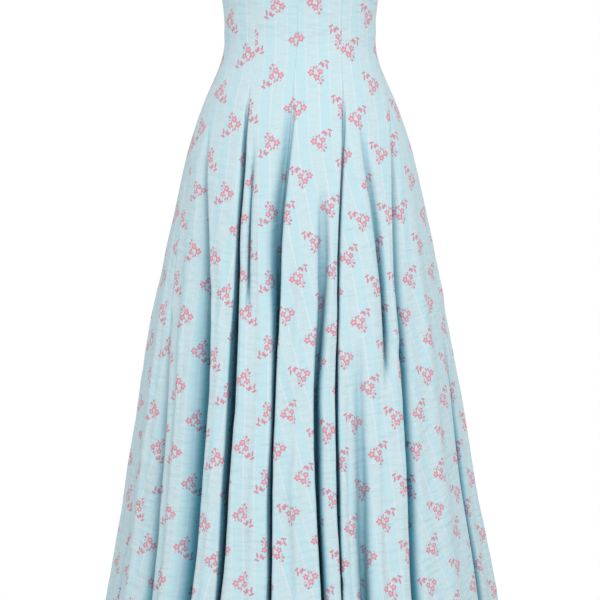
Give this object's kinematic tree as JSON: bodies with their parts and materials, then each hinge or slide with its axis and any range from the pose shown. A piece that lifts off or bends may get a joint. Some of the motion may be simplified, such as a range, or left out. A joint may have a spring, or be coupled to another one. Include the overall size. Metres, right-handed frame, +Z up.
{
  "type": "gown",
  "caption": "Strapless floor-length gown cut in princess-line gores, with a fitted bodice, a full folded skirt, an open neck and hem, and a concealed back zip.",
  "frame": {"origin": "centre of the waist, where the wearer holds the gown", "axes": "+Z up to the neck edge, the front faces -Y, +X is the wearer's left"},
  "size_m": [0.7038, 0.6457, 1.299],
  "materials": {
    "gown_cotton": "matt light cotton, woven stripe with pink sprigs",
    "zip_tape": "matt woven tape",
    "zip_metal": "satin lacquer"
  },
  "bodies": {
    "gown": {"front_centre_right": "gown_cotton", "front_centre_left": "gown_cotton", "front_side_right": "gown_cotton", "front_side_left": "gown_cotton", "back_side_right": "gown_cotton", "back_side_left": "gown_cotton", "back_centre_right": "gown_cotton", "back_centre_left": "gown_cotton", "zip_tape": "zip_tape", "zip_slider": "zip_metal"},
    "pull": {"zip_pull": "zip_metal"}
  },
  "joints": [
    {"name": "pull_swing", "type": "hinge", "parent": "gown", "child": "pull", "pos_m": [0, 0.10032, 0.147], "axis": [1, 0, 0], "range_deg": [0, 150]}
  ]
}
